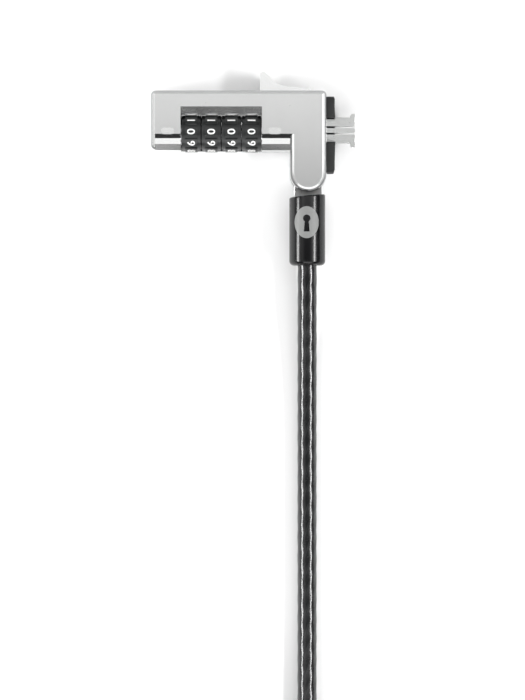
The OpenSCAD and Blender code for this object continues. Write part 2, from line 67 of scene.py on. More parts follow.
class Body(Enum):
    """The frame's bodies that new pieces ride on."""

    LOCK = "lock_body"
    CABLE = "cable_body"
    SLEEVE = "sleeve_body"


class Along(Enum):
    """A row axis that a grain or a turned line follows."""

    X = 0
    Y = 1
    Z = 2


class Cut(Enum):
    """How one solid changes another."""

    DIFFERENCE = "DIFFERENCE"
    INTERSECT = "INTERSECT"


# Shader maths


class Graph:
    """A node tree, with one method that adds a node of any kind."""

    def __init__(self, tree: bpy.types.NodeTree) -> None:
        """Empties the tree."""
        self.tree = tree
        tree.nodes.clear()

    def feed(self, place: Socket, value: object) -> None:
        """Links or sets one input.

        Args:
            place: The input.
            value: A wire, a socket or a plain value.
        """
        source = value.socket if isinstance(value, Wire) else value
        if isinstance(source, Socket):
            self.tree.links.new(source, place)
        else:
            place.default_value = source

    def node(
        self,
        kind: str,
        settings: Mapping[str, object] | None = None,
        inputs: Mapping[Union[str, int], object] | None = None,
    ) -> bpy.types.Node:
        """Adds a node of any kind.

        Args:
            kind: The node's type.
            settings: Its own settings, set first; "stops" are a ramp's (place, colour) pairs.
            inputs: Values, wires or sockets for its inputs, by name or number.

        Returns:
            The new node.
        """
        node = self.tree.nodes.new(kind)
        for key, value in (settings or {}).items():
            if key == "stops":
                self.set_stops(node.color_ramp, value)
            else:
                setattr(node, key, value)
        for key, value in (inputs or {}).items():
            self.feed(node.inputs[key], value)
        return node

    @staticmethod
    def set_stops(ramp: bpy.types.ColorRamp, stops: Sequence[tuple[float, Colour]]) -> None:
        """Sets a ramp's stops.

        Args:
            ramp: The ramp.
            stops: A place and a colour for each stop.
        """
        while len(ramp.elements) < len(stops):
            ramp.elements.new(1.0)
        for element, (place, colour) in zip(ramp.elements, stops):
            element.position = place
            element.color = (*colour, 1.0)


@dataclass(frozen=True)
class Wire:
    """A number socket of a node tree that can be used in Python expressions."""

    graph: Graph
    socket: Socket

    def maths(self, operation: str, *terms: Number) -> "Wire":
        """The result of one Math node.

        Args:
            operation: The node's operation.
            terms: What goes into its sockets, in order.

        Returns:
            The node's result.
        """
        node = self.graph.node("ShaderNodeMath", {"operation": operation}, dict(enumerate(terms)))
        return Wire(self.graph, node.outputs[0])

    def __add__(self, other: Number) -> "Wire":
        """Sum."""
        return self.maths("ADD", self, other)

    def __radd__(self, other: Number) -> "Wire":
        """Sum, with the number first."""
        return self.maths("ADD", other, self)

    def __sub__(self, other: Number) -> "Wire":
        """Difference."""
        return self.maths("SUBTRACT", self, other)

    def __rsub__(self, other: Number) -> "Wire":
        """Difference, with the number first."""
        return self.maths("SUBTRACT", other, self)

    def __mul__(self, other: Number) -> "Wire":
        """Product."""
        return self.maths("MULTIPLY", self, other)

    def __rmul__(self, other: Number) -> "Wire":
        """Product, with the number first."""
        return self.maths("MULTIPLY", other, self)

    def sine(self) -> "Wire":
        """Sine of an angle in radians."""
        return self.maths("SINE", self)

    def larger(self, other: Number) -> "Wire":
        """The greater of two values."""
        return self.maths("MAXIMUM", self, other)

    def step(self, low: float, high: float) -> "Wire":
        """A smooth step.

        Args:
            low: The value that gives 0.
            high: The value that gives 1.

        Returns:
            The step, from 0 to 1.
        """
        inputs = {"Value": self, "From Min": low, "From Max": high}
        node = self.graph.node("ShaderNodeMapRange", {"interpolation_type": "SMOOTHSTEP"}, inputs)
        return Wire(self.graph, node.outputs[0])

    def within(self, rise: Span, fall: Span) -> "Wire":
        """1 between two smooth steps: up over the first span and down over the second."""
        return self.step(*rise) * (1.0 - self.step(*fall))


class Paint(Graph):
    """A material in the making: one principled surface and the nodes that feed it."""

    def __init__(self, name: str) -> None:
        """Starts an empty material.

        Args:
            name: The material's name.
        """
        self.material = bpy.data.materials.new(name)
        self.material.use_nodes = True
        super().__init__(self.material.node_tree)
        self.shader = self.node("ShaderNodeBsdfPrincipled")
        self.node("ShaderNodeOutputMaterial", inputs={"Surface": self.shader.outputs[0]})

    def wire(self, node: bpy.types.Node, output: Union[str, int] = 0) -> Wire:
        """One output of a node, for use in an expression."""
        return Wire(self, node.outputs[output])

    def place(self, name: str = "Object") -> Socket:
        """One output of the texture coordinates, such as Object or UV."""
        return self.node("ShaderNodeTexCoord").outputs[name]

    def parts(self, vector: Socket) -> tuple[Wire, Wire, Wire]:
        """The three numbers of a vector."""
        split = self.node("ShaderNodeSeparateXYZ", inputs={0: vector})
        return self.wire(split, 0), self.wire(split, 1), self.wire(split, 2)

    def stretched(self, vector: Socket, scale: Place) -> Socket:
        """A vector stretched along its axes."""
        return self.node("ShaderNodeMapping", inputs={"Vector": vector, "Scale": scale}).outputs[0]

    def noise(
        self, vector: Socket, scale: float, detail: float = 3.0, rough: float = 0.5
    ) -> Wire:
        """Noise from 0 to 1, with its scale in features to the metre."""
        inputs = {"Vector": vector, "Scale": scale, "Detail": detail, "Roughness": rough}
        return self.wire(self.node("ShaderNodeTexNoise", inputs=inputs))

    def mixed(self, factor: Number, first: object, second: object) -> Socket:
        """A mix of two colours.

        Args:
            factor: 0 for the first, 1 for the second.
            first: A colour or a colour socket.
            second: A colour or a colour socket.

        Returns:
            The mixed colour.
        """
        first, second = ((*one, 1.0) if isinstance(one, tuple) else one for one in (first, second))
        inputs = {0: factor, 6: first, 7: second}
        return self.node("ShaderNodeMix", {"data_type": "RGBA"}, inputs).outputs[2]

    def bumps(self, height: Wire, depth: float) -> Socket:
        """A normal bent by a height, whose 1 stands for a depth in metres."""
        inputs = {"Height": height, "Distance": depth, "Strength": 1.0}
        return self.node("ShaderNodeBump", inputs=inputs).outputs[0]

    def surface(self, **sockets: object) -> Material:
        """Sets the surface's sockets, by names with underscores for spaces.

        Args:
            sockets: Numbers, colours, wires or sockets.

        Returns:
            The finished material.
        """
        for key, value in sockets.items():
            full = (*value, 1.0) if isinstance(value, tuple) else value
            self.feed(self.shader.inputs[key.replace("_", " ")], full)
        return self.material


# Finishes


@dataclass(frozen=True)
class SatinCasting:
    """Die-cast zinc under a satin silver coat: a blasted face with polished edges, and a painted dark
    reflection that darkens the rim and the strip below the face outside the window recess, in metres.
    """

    name: str = "satin silver casting"
    tint: Colour = (0.78, 0.785, 0.78)
    face_roughness: float = 0.28
    edge_roughness: float = 0.13
    least_roughness: float = 0.06
    grain: float = 9000.0
    grain_depth: float = 0.0000025
    cloud: float = 90.0
    handling: float = 420.0
    face_level: float = 0.01119
    face_fade: float = 0.00004
    raised: Span = (0.00003, 0.00008)
    raised_polish: float = 1.0
    # Levels, strength and tint of a painted dark reflection: a darker band of base colour on the rim and
    # the strip.
    rim_rise: Span = (0.01027, 0.0103)
    rim_fall: Span = (0.01095, 0.01115)
    rim_shade: float = 0.75
    rim_tint: Colour = (0.3, 0.305, 0.31)
    recess_x: tuple[Span, Span] = ((-0.0149, -0.0148), (0.0059, 0.006))
    recess_y: tuple[Span, Span] = ((0.0041, 0.0042), (0.0064, 0.0065))

    def build(self) -> Material:
        """Builds the material.

        Returns:
            The finished material.
        """
        paint = Paint(self.name)
        at = paint.place()
        across, up, level = paint.parts(at)
        recess = across.within(*self.recess_x) * up.within(*self.recess_y)
        raised = level.step(*(self.face_level + rise for rise in self.raised))
        flat = level.step(self.face_level - self.face_fade, self.face_level)
        flat = flat * (1.0 - raised * self.raised_polish)
        grain = paint.noise(at, self.grain, 2.0, 0.6)
        cloud = paint.noise(at, self.cloud, 4.0, 0.55)
        handled = paint.noise(at, self.handling).step(0.45, 0.85)
        roughness = self.edge_roughness + (self.face_roughness - self.edge_roughness) * flat
        roughness = roughness + (cloud - 0.5) * 0.03 + handled * 0.015
        darker = tuple(0.93 * part for part in self.tint)
        mottled = paint.mixed(cloud.step(0.3, 0.75) * 0.4 + handled * 0.2, self.tint, darker)
        # Painted dark reflection: the rim and strip levels outside the window recess take a darker base
        # colour.
        rim = level.within(self.rim_rise, self.rim_fall) * (1.0 - recess) * self.rim_shade
        return paint.surface(
            Base_Color=paint.mixed(rim, mottled, self.rim_tint),
            Metallic=1.0,
            Roughness=roughness.larger(self.least_roughness),
            Normal=paint.bumps(grain * (0.3 + 0.7 * flat), self.grain_depth),
        )


@dataclass(frozen=True)
class BrushedMetal:
    """Metal with a fine grain drawn along one axis."""

    name: str
    tint: Colour
    along: Along = Along.X
    roughness: float = 0.3
    depth: float = 0.000003
    fine: float = 9000.0
    drawn_out: float = 0.03
    stains: float = 260.0

    def build(self) -> Material:
        """Builds the material.

        Returns:
            The finished material.
        """
        paint = Paint(self.name)
        at = paint.place()
        scale = [1.0, 1.0, 1.0]
        scale[self.along.value] = self.drawn_out
        streaks = paint.noise(paint.stretched(at, tuple(scale)), self.fine, 4.0, 0.65)
        stain = paint.noise(at, self.stains, 4.0, 0.6)
        shade = tuple(0.72 * part for part in self.tint)
        return paint.surface(
            Base_Color=paint.mixed(streaks * 0.45 + stain.step(0.45, 0.75) * 0.4, self.tint, shade),
            Metallic=0.95,
            Roughness=self.roughness + (streaks - 0.5) * 0.22 + (stain - 0.5) * 0.12,
            Normal=paint.bumps(streaks, self.depth),
        )


@dataclass(frozen=True)
class TurnedMetal:
    """Metal turned on a lathe: faint rings across one axis."""

    name: str
    tint: Colour
    along: Along = Along.X
    roughness: float = 0.22
    pitch: float = 0.00009
    depth: float = 0.0000012
    wander: float = 800.0
    stains: float = 500.0

    def build(self) -> Material:
        """Builds the material.

        Returns:
            The finished material.
        """
        paint = Paint(self.name)
        at = paint.place()
        way = paint.parts(at)[self.along.value]
        wander = paint.noise(at, self.wander, 2.0)
        rings = (way * (math.tau / self.pitch) + wander * 3.0).sine() * 0.5 + 0.5
        stain = paint.noise(at, self.stains, 4.0, 0.6)
        shade = tuple(0.7 * part for part in self.tint)
        return paint.surface(
            Base_Color=paint.mixed(stain.step(0.4, 0.8) * 0.7, self.tint, shade),
            Metallic=1.0,
            Roughness=self.roughness + rings * 0.06 + (stain - 0.5) * 0.14,
            Normal=paint.bumps(rings, self.depth),
        )


@dataclass(frozen=True)
class MouldedPlastic:
    """Dark moulded plastic with a fine spark texture and handled high spots."""

    name: str
    tint: Colour
    roughness: float = 0.38
    texture: float = 7000.0
    depth: float = 0.000005
    clouds: float = 350.0

    def build(self) -> Material:
        """Builds the material.

        Returns:
            The finished material.
        """
        paint = Paint(self.name)
        at = paint.place()
        spark = paint.noise(at, self.texture, 3.0, 0.6)
        cloud = paint.noise(at, self.clouds, 4.0, 0.6)
        rubbed = tuple(min(1.0, 1.7 * part + 0.004) for part in self.tint)
        return paint.surface(
            Base_Color=paint.mixed(
                cloud.step(0.42, 0.78) * 0.6 + spark.step(0.6, 0.9) * 0.25, self.tint, rubbed
            ),
            Roughness=self.roughness + (cloud - 0.5) * 0.16 + (spark - 0.5) * 0.1,
            Normal=paint.bumps(spark, self.depth),
        )


@dataclass(frozen=True)
class PebbledRubber:
    """Matt rubber with a pebbled skin and pale dust in it."""

    name: str = "pebbled rubber"
    tint: Colour = (0.01, 0.0105, 0.0105)
    dusty: Colour = (0.03, 0.031, 0.03)
    dust: float = 1500.0
    pebbles: float = 3600.0
    depth: float = 0.00002

    def build(self) -> Material:
        """Builds the material.

        Returns:
            The finished material.
        """
        paint = Paint(self.name)
        at = paint.place()
        cells = paint.node("ShaderNodeTexVoronoi", inputs={"Vector": at, "Scale": self.pebbles})
        pebble = paint.wire(cells, "Distance")
        dust = paint.noise(at, self.dust, 5.0, 0.7)
        dusted = dust.step(0.45, 0.8) * pebble.step(0.2, 0.8) * 0.8
        return paint.surface(
            Base_Color=paint.mixed(dusted, self.tint, self.dusty),
            Roughness=0.72 + (dust - 0.5) * 0.2,
            Normal=paint.bumps(pebble + dust * 0.4, self.depth),
        )


@dataclass(frozen=True)
class WhiteInk:
    """Filled white ink with slightly worn spots."""

    name: str = "white filled ink"
    tint: Colour = (0.86, 0.86, 0.85)
    worn: Colour = (0.6, 0.6, 0.59)
    wear: float = 2600.0
    depth: float = 0.000004

    def build(self) -> Material:
        """Builds the material.

        Returns:
            The finished material.
        """
        paint = Paint(self.name)
        at = paint.place()
        wear = paint.noise(at, self.wear, 4.0, 0.6)
        return paint.surface(
            Base_Color=paint.mixed(wear.step(0.55, 0.85) * 0.7, self.tint, self.worn),
            Roughness=0.5 + (wear - 0.5) * 0.25,
            Normal=paint.bumps(wear, self.depth),
        )


@dataclass(frozen=True)
class GlossMoulding:
    """Glossy black soft plastic with a faint orange peel and hairline rubs."""

    name: str = "glossy black moulding"
    tint: Colour = (0.003, 0.003, 0.0035)
    hazed: Colour = (0.006, 0.006, 0.0065)
    peel: float = 900.0
    rubs: float = 5200.0
    film: float = 160.0
    depth: float = 0.000004

    def build(self) -> Material:
        """Builds the material.

        Returns:
            The finished material.
        """
        paint = Paint(self.name)
        at = paint.place()
        peel = paint.noise(at, self.peel, 2.0, 0.4)
        rubs = paint.noise(paint.stretched(at, (1.0, 0.05, 1.0)), self.rubs, 3.0, 0.7).step(0.6, 0.85)
        film = paint.noise(at, self.film, 4.0, 0.6)
        return paint.surface(
            Base_Color=paint.mixed(film.step(0.4, 0.8) * 0.5 + rubs * 0.3, self.tint, self.hazed),
            Roughness=0.19 + film * 0.05 + rubs * 0.06,
            Specular_IOR_Level=0.38,
            Normal=paint.bumps(peel, self.depth),
        )


@dataclass(frozen=True)
class StrandJacket:
    """Smoke-clear jacket over a rope of twisted steel strands."""

    name: str = "smoke jacket over steel strands"
    jacket: Colour = (0.004, 0.0045, 0.005)
    steel: Colour = (0.03, 0.031, 0.032)
    strands: int = 6
    lay: float = 0.031
    wires: int = 5
    wire_lay: float = 420.0
    haze: float = 700.0
    depth: float = 0.000002

    def build(self) -> Material:
        """Builds the material.

        Returns:
            The finished material.
        """
        paint = Paint(self.name)
        around, length, _ = paint.parts(paint.place("UV"))
        turn = around + length * (1.0 / self.lay)
        strand = (turn * (math.tau * self.strands)).sine() * 0.5 + 0.5
        wire = ((turn * self.strands * self.wires - length * self.wire_lay) * math.tau).sine() * 0.5 + 0.5
        at = paint.place()
        haze = paint.noise(at, self.haze, 4.0, 0.6)
        lit = strand.step(0.35, 1.0) * (0.35 + 0.65 * wire)
        return paint.surface(
            Base_Color=paint.mixed(lit * (0.55 + 0.5 * haze), self.jacket, self.steel),
            Roughness=0.2 + (haze - 0.5) * 0.16 + (1.0 - strand) * 0.06,
            Metallic=lit * 0.2,
            Coat_Weight=0.3,
            Coat_Roughness=0.12,
            Normal=paint.bumps(wire * strand, self.depth),
        )


@dataclass(frozen=True)
class WovenTape:
    """Black woven tape: ribs across, fine yarns along."""

    name: str = "black woven tape"
    tint: Colour = (0.014, 0.014, 0.016)
    rib: float = 0.0007
    yarn: float = 0.0005
    pale: Colour = (0.06, 0.06, 0.064)
    fuzz: float = 4200.0
    depth: float = 0.00008

    def build(self) -> Material:
        """Builds the material.

        Returns:
            The finished material.
        """
        paint = Paint(self.name)
        at = paint.place()
        x, y, z = paint.parts(at)
        along = ((x + z) * (math.tau / self.rib)).sine()
        across = (y * (math.tau / self.yarn)).sine()
        weave = along * across * 0.5 + 0.5
        fuzz = paint.noise(at, self.fuzz, 4.0, 0.7)
        return paint.surface(
            Base_Color=paint.mixed(weave * 0.5 + fuzz.step(0.55, 0.9) * 0.4, self.tint, self.pale),
            Roughness=0.82 + (fuzz - 0.5) * 0.2,
            Sheen_Weight=0.25,
            Normal=paint.bumps(weave * 0.7 + fuzz * 0.3, self.depth),
        )


@dataclass(frozen=True)
class PaleFloor:
    """Plain pale card."""

    name: str = "pale card"
    tint: Colour = (0.9, 0.9, 0.9)

    def build(self) -> Material:
        """The finished material."""
        return Paint(self.name).surface(Base_Color=self.tint, Roughness=0.9, Specular_IOR_Level=0.2)


class Finishes:
    """Every finish of the lock, each built once and shared."""

    def __init__(self) -> None:
        """Builds the finishes."""
        self.casting = SatinCasting().build()
        self.slider = SatinCasting(
            name="pale silver slider", tint=(0.93, 0.935, 0.93), face_roughness=0.24, face_level=0.0,
            raised_polish=0.0, rim_shade=0.0,
        ).build()
        self.plate = BrushedMetal("brushed cover plate", (0.5, 0.51, 0.52), Along.X, 0.34).build()
        self.cast_steel = BrushedMetal(
            "cast steel", (0.46, 0.47, 0.48), Along.Z, 0.4, 0.000006, 5200.0
        ).build()
        self.jaw_steel = BrushedMetal("hardened jaw steel", (0.72, 0.73, 0.72), Along.X, 0.3).build()
        self.tongue_steel = BrushedMetal("satin tongue steel", (0.42, 0.42, 0.42), Along.Y, 0.3).build()
        self.spring_steel = BrushedMetal("drawn spring steel", (0.36, 0.37, 0.4), Along.X, 0.26).build()
        self.pin = TurnedMetal("ground pin steel", (0.56, 0.56, 0.58), Along.Z, 0.16).build()
        self.shaft = TurnedMetal("ground shaft steel", (0.56, 0.56, 0.58), Along.X, 0.18).build()
        self.brass = TurnedMetal("turned brass", (0.66, 0.47, 0.19), Along.X, 0.24).build()
        self.screw = TurnedMetal("blackened screw steel", (0.16, 0.16, 0.17), Along.Z, 0.34).build()
        self.crimp = BrushedMetal(
            "pressed crimp metal", (0.5, 0.51, 0.53), Along.Y, 0.36, 0.000006, 4200.0
        ).build()
        self.dial = MouldedPlastic("black dial plastic", (0.014, 0.015, 0.015), 0.34).build()
        self.ink = WhiteInk().build()
        self.rubber = PebbledRubber().build()
        self.gloss = GlossMoulding().build()
        self.badge = WhiteInk("grey printed ink", (0.2, 0.203, 0.2), (0.16, 0.162, 0.16)).build()
        self.jacket = StrandJacket().build()
        self.tape = WovenTape().build()
        self.floor = PaleFloor().build()


# The modelling bench


class Bench:
    """Modelling steps that every sub-assembly shares. Sizes and places are in millimetres."""

    @staticmethod
    def clear() -> None:
        """Leaves edit mode and deselects everything."""
        if bpy.context.object is not None and bpy.context.object.mode != "OBJECT":
            bpy.ops.object.mode_set(mode="OBJECT")
        bpy.ops.object.select_all(action="DESELECT")

    @classmethod
    def activate(cls, piece: Piece) -> None:
        """Selects one piece alone.

        Args:
            piece: The piece.
        """
        cls.clear()
        piece.select_set(True)
        bpy.context.view_layer.objects.active = piece

    @staticmethod
    def add(name: str, data: bpy.types.ID) -> Piece:
        """Puts new data into the scene.

        Args:
            name: The new object's name.
            data: Its mesh, light or camera.

        Returns:
            The new object.
        """
        piece = bpy.data.objects.new(name, data)
        bpy.context.scene.collection.objects.link(piece)
        return piece

    @classmethod
    def settle(cls, piece: Piece, name: str) -> Piece:
        """Puts a piece's place into its mesh.

        Args:
            piece: The piece.
            name: Its name.

        Returns:
            The piece, at the origin, unturned and unscaled.
        """
        cls.activate(piece)
        bpy.ops.object.transform_apply(location=True, rotation=True, scale=True)
        piece.name = piece.data.name = name
        return piece

    @classmethod
    def block(cls, name: str, low: Place, high: Place) -> Piece:
        """A box between two corners.

        Args:
            name: The piece's name.
            low: Its lowest corner.
            high: Its highest corner.

        Returns:
            The box.
        """
        cls.clear()
        middle = [(a + b) * 0.5 * MM for a, b in zip(low, high)]
        bpy.ops.mesh.primitive_cube_add(size=1.0, location=middle)
        piece = bpy.context.object
        piece.scale = [(b - a) * MM for a, b in zip(low, high)]
        return cls.settle(piece, name)

    @classmethod
    def rod(cls, name: str, radius: float, start: Place, end: Place, sides: int) -> Piece:
        """A round rod between two points.

        Args:
            name: The piece's name.
            radius: Its radius.
            start: The middle of one end.
            end: The middle of the other end.
            sides: How many sides it has.

        Returns:
            The rod.
        """
        cls.clear()
        first = Vector(start) * MM
        last = Vector(end) * MM
        bpy.ops.mesh.primitive_cylinder_add(
            vertices=sides, radius=radius * MM, depth=(last - first).length, location=(first + last) / 2
        )
        piece = bpy.context.object
        piece.rotation_mode = "QUATERNION"
        piece.rotation_quaternion = Vector((0, 0, 1)).rotation_difference(last - first)
        return cls.settle(piece, name)

    @classmethod
    def edit(cls, piece: Piece, test: Choice | None = None, edges: bool = False) -> None:
        """Enters edit mode with some faces or edges selected.

        Args:
            piece: The piece.
            test: Takes a face's or edge's middle, in millimetres, and its normal or direction, and
                says if it is wanted. Without a test, all are.
            edges: Whether edges are chosen, not faces.
        """
        cls.activate(piece)
        bpy.context.tool_settings.mesh_select_mode = (False, edges, not edges)
        mesh = piece.data
        for item in (*mesh.vertices, *mesh.edges, *mesh.polygons):
            item.select = False
        if edges:
            for edge in mesh.edges:
                first, last = (mesh.vertices[i].co for i in edge.vertices)
                edge.select = test((first + last) / (2 * MM), (last - first).normalized())
        else:
            for face in mesh.polygons:
                face.select = test is None or test(face.center / MM, face.normal)
        bpy.ops.object.mode_set(mode="EDIT")

    @classmethod
    def round_edges(cls, piece: Piece, test: Choice, width: float, segments: int) -> None:
        """Bevels chosen edges.

        Args:
            piece: The piece.
            test: Says which edges are wanted.
            width: How far the bevel reaches.
            segments: How many steps it has.
        """
        cls.edit(piece, test, edges=True)
        bpy.ops.mesh.bevel(offset=width * MM, segments=segments)
        cls.clear()

    @classmethod
    def slice(cls, piece: Piece, place: Place, normal: Place = (0.0, 1.0, 0.0), **settings: bool) -> None:
        """Cuts edges into a piece where a plane meets it.

        Args:
            piece: The piece.
            place: A point on the plane.
            normal: The plane's normal.
            settings: What else bisect is told, such as to cut a side off.
        """
        cls.edit(piece)
        bpy.ops.mesh.bisect(plane_co=[part * MM for part in place], plane_no=normal, **settings)
        cls.clear()

    @classmethod
    def resize(cls, piece: Piece, scale: Place, middle: Place, test: Choice | None = None) -> None:
        """Scales a piece, or chosen faces of it.

        Args:
            piece: The piece.
            scale: The scale along each axis.
            middle: The point that stays.
            test: Says which faces are wanted.
        """
        cls.edit(piece, test)
        bpy.ops.transform.resize(value=scale, center_override=[part * MM for part in middle])
        cls.clear()

    @classmethod
    def modify(cls, piece: Piece, kind: str, **settings: object) -> None:
        """Adds a modifier and applies it.

        Args:
            piece: The piece.
            kind: The modifier's type.
            settings: The modifier's settings.
        """
        cls.activate(piece)
        bpy.ops.object.modifier_add(type=kind)
        modifier = piece.modifiers[-1]
        for key, value in settings.items():
            setattr(modifier, key, value)
        bpy.ops.object.modifier_apply(modifier=modifier.name)

    @classmethod
    def combine(cls, piece: Piece, tool: Piece, how: Cut = Cut.DIFFERENCE) -> None:
        """Cuts a piece with a tool solid and throws the tool away.

        Args:
            piece: The piece.
            tool: The other solid.
            how: What the tool does.
        """
        cls.modify(piece, "BOOLEAN", object=tool, operation=how.value, solver="EXACT")
        bpy.data.objects.remove(tool)

    @classmethod
    def ease(cls, piece: Piece, width: float, segments: int = 3, angle: float = 35.0) -> None:
        """Rounds a piece's sharp edges.

        Args:
            piece: The piece.
            width: How far the rounding reaches.
            segments: How many steps it has.
            angle: Edges sharper than this are rounded, in degrees.
        """
        cls.modify(
            piece, "BEVEL", width=width * MM, segments=segments, limit_method="ANGLE",
            angle_limit=math.radians(angle),
        )

    @classmethod
    def smooth(cls, piece: Piece, angle: float = 35.0) -> None:
        """Shades a piece smooth, but for edges sharper than an angle in degrees."""
        cls.activate(piece)
        bpy.ops.object.shade_smooth_by_angle(angle=math.radians(angle))

    @classmethod
    def mend(cls) -> None:
        """Turns all normals of the piece in edit mode outwards and leaves edit mode."""
        bpy.ops.mesh.select_all(action="SELECT")
        bpy.ops.mesh.normals_make_consistent(inside=False)
        cls.clear()

    @staticmethod
    def finish(
        piece: Piece, material: Material, body: Body | str, slot: str, *replaced: str
    ) -> Piece:
        """Gives a piece its material and its body, and hides the nodes that it stands for.

        Args:
            piece: The piece.
            material: Its material.
            body: The body that it rides on.
            slot: A material slot's name; not used.
            replaced: The nodes that it stands for.

        Returns:
            The piece.
        """
        piece.data.materials.clear()
        piece.data.materials.append(material)
        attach(piece, body.value if isinstance(body, Body) else body)
        if replaced:
            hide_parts(*replaced)
        log.info("%s: %d faces", piece.name, len(piece.data.polygons))
        return piece

    @staticmethod
    def dress(node: str, material: Material, edge: float = 0.0, segments: int = 2) -> None:
        """Dresses a frame node: its material, and softly rounded edges.

        Args:
            node: The node's name.
            material: Its material.
            edge: The width of its rounded edges, or 0 for none.
            segments: The steps of a rounded edge.
        """
        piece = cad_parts[node]
        if not piece.material_slots:
            piece.data.materials.append(material)
        for place in piece.material_slots:
            place.material = material
        if edge:
            piece.modifiers.new("weld", "WELD").merge_threshold = WELD_REACH
            bevel = piece.modifiers.new("edges", "BEVEL")
            bevel.width = edge * MM
            bevel.segments = segments
            bevel.limit_method = "ANGLE"
            bevel.angle_limit = math.radians(EDGE_ANGLE)
        log.info("%s: dressed in %s", node, material.name)


# Studio


@dataclass(frozen=True)
class Lamp:
    """A soft area light that looks at the lock, in metres and watts."""

    name: str
    place: Place
    target: Place
    size: Span
    power: float

    def add(self) -> None:
        """Adds the light to the scene."""
        light = bpy.data.lights.new(self.name, "AREA")
        light.shape = "RECTANGLE"
        light.size, light.size_y = self.size
        light.energy = self.power
        lamp = Bench.add(self.name, light)
        facing = (Vector(self.target) - Vector(self.place)).to_track_quat("-Z", "Y")
        lamp.matrix_world = Matrix.Translation(self.place) @ facing.to_matrix().to_4x4()


@dataclass
class Studio:
    """Camera, pale floor, soft lights and sky."""

    finishes: Finishes
    middle: Span = (6.09, -55.8)
    sharp_level: float = 8.0
    view_height: float = 179.5
    lens: float = 150.0
    sensor: float = 36.0
    floor_size: float = 6.0
    floor_level: float = -0.00002
    sky_greys: tuple[Span, ...] = (
        (0.0, 0.55), (0.09, 0.5), (0.14, 0.03), (0.5, 0.03), (0.66, 0.35), (0.86, 0.85), (0.94, 0.12),
    )
    lamps: tuple[Lamp, ...] = (
        Lamp("near softbox", (0.006, 0.085, 0.3), (0.006, 0.085, 0.0), (0.4, 0.146), 0.175),
        Lamp("left strip", (-0.46, -0.07, 0.25), (0.0, -0.07, 0.0), (0.34, 0.09), 2.7),
        Lamp("right strip", (0.4, -0.07, 0.36), (0.0, -0.07, 0.0), (0.34, 0.08), 2.4),
        Lamp("strip card", (0.0, -0.24, 0.5), (0.0, 0.0, 0.0), (0.5, 0.1), 0.16),
        Lamp("front fill", (0.05, -0.9, 0.56), (0.0, -0.05, 0.0), (0.9, 0.3), 4.0),
    )

    def add_camera(self) -> None:
        """Adds the camera, straight above the lock."""
        data = bpy.data.cameras.new("camera")
        data.lens = self.lens
        data.sensor_width = self.sensor
        data.clip_start = 0.01
        camera = Bench.add("camera", data)
        distance = self.view_height * self.lens / self.sensor
        camera.location = (self.middle[0] * MM, self.middle[1] * MM, (distance + self.sharp_level) * MM)
        bpy.context.scene.camera = camera

    def add_floor(self) -> None:
        """Adds the pale floor under the lock."""
        Bench.clear()
        bpy.ops.mesh.primitive_plane_add(size=self.floor_size, location=(0.0, 0.0, self.floor_level))
        floor = Bench.settle(bpy.context.object, "floor")
        floor.data.materials.append(self.finishes.floor)

    def add_sky(self) -> None:
        """Adds a sky in grey bands: the zenith dim, a bright band round it, dark bands below."""
        world = bpy.data.worlds.new("soft sky")
        world.use_nodes = True
        sky = Graph(world.node_tree)
        way = sky.node("ShaderNodeTexCoord").outputs["Generated"]
        height = sky.node("ShaderNodeSeparateXYZ", inputs={0: way}).outputs["Z"]
        stops = [(place, (grey, grey, grey)) for place, grey in self.sky_greys]
        ramp = sky.node("ShaderNodeValToRGB", {"stops": stops}, {0: height})
        light = sky.node("ShaderNodeBackground", inputs={"Color": ramp.outputs[0], "Strength": 1.0})
        sky.node("ShaderNodeOutputWorld", inputs={0: light.outputs[0]})
        bpy.context.scene.world = world

    def light(self) -> None:
        """Adds the floor, the sky and the lamps."""
        self.add_floor()
        self.add_sky()
        for lamp in self.lamps:
            lamp.add()
        bpy.context.scene.view_settings.view_transform = "Standard"


# Cable


def smooth_step(t: float) -> float:
    """Eases a share from 0 to 1."""
    return t * t * (3.0 - 2.0 * t)


@dataclass
class Hank:
    """The stored turns: two tracks side by side in three layers, wound clockwise."""

    middle_x: float
    top: float = -173.0
    run: float = 85.0
    floor: float = 2.9
    layer: float = 5.0
    radii: tuple[float, ...] = (20, 20, 20, 20, 15, 15, 15, 15, 15, 15, 20, 20, 20, 20, 20, 20, 15, 15, 15)
    layers: tuple[int, ...] = (0, 0, 0, 0, 0, 0, 0, 1, 1, 1, 1, 1, 1, 2, 2, 2, 2, 2, 2)
    last_y: float = -251.0
    pace: float = 1.0

    def corner_blend(self, values: Sequence[float], corner: int, t: float) -> float:
        """A value between two corners of the winding.

        Args:
            values: The value at each corner.
            corner: The corner that the stretch starts from.
            t: The share of the stretch.

        Returns:
            The value there.
        """
        first = values[corner]
        last = values[min(corner + 1, len(values) - 1)]
        return first + (last - first) * smooth_step(t)

    def stretch(self, corner: int, t: float) -> Place:
        """A point on one stretch: right run, lower bend, left run or upper bend, in turn.

        Args:
            corner: The corner that the stretch starts from.
            t: The share of the stretch.

        Returns:
            The point, in millimetres.
        """
        radius = self.corner_blend(self.radii, corner, t)
        z = self.floor + self.layer * self.corner_blend(self.layers, corner, t)
        bottom = self.top - self.run
        side, start, end = (1, self.top, bottom) if corner % 4 < 2 else (-1, bottom, self.top)
        if corner % 2 == 0:
            return (self.middle_x + side * radius, start - side * self.run * t, z)
        across, along = radius * math.cos(math.pi * t), radius * math.sin(math.pi * t)
        return (self.middle_x + side * across, end - side * along, z)

    def points(self) -> list[Place]:
        """Lays the winding.

        Returns:
            Its points without the first, a pace apart, in millimetres.
        """
        found: list[Place] = []
        for corner in range(len(self.radii)):
            length = self.run if corner % 2 == 0 else math.pi * self.radii[corner]
            steps = max(1, round(length / self.pace))
            last = corner == len(self.radii) - 1
            share = (self.last_y - (self.top - self.run)) / self.run if last else 1.0
            count = max(1, round(steps * share))
            found += [self.stretch(corner, share * (k + 1) / count) for k in range(count)]
        return found


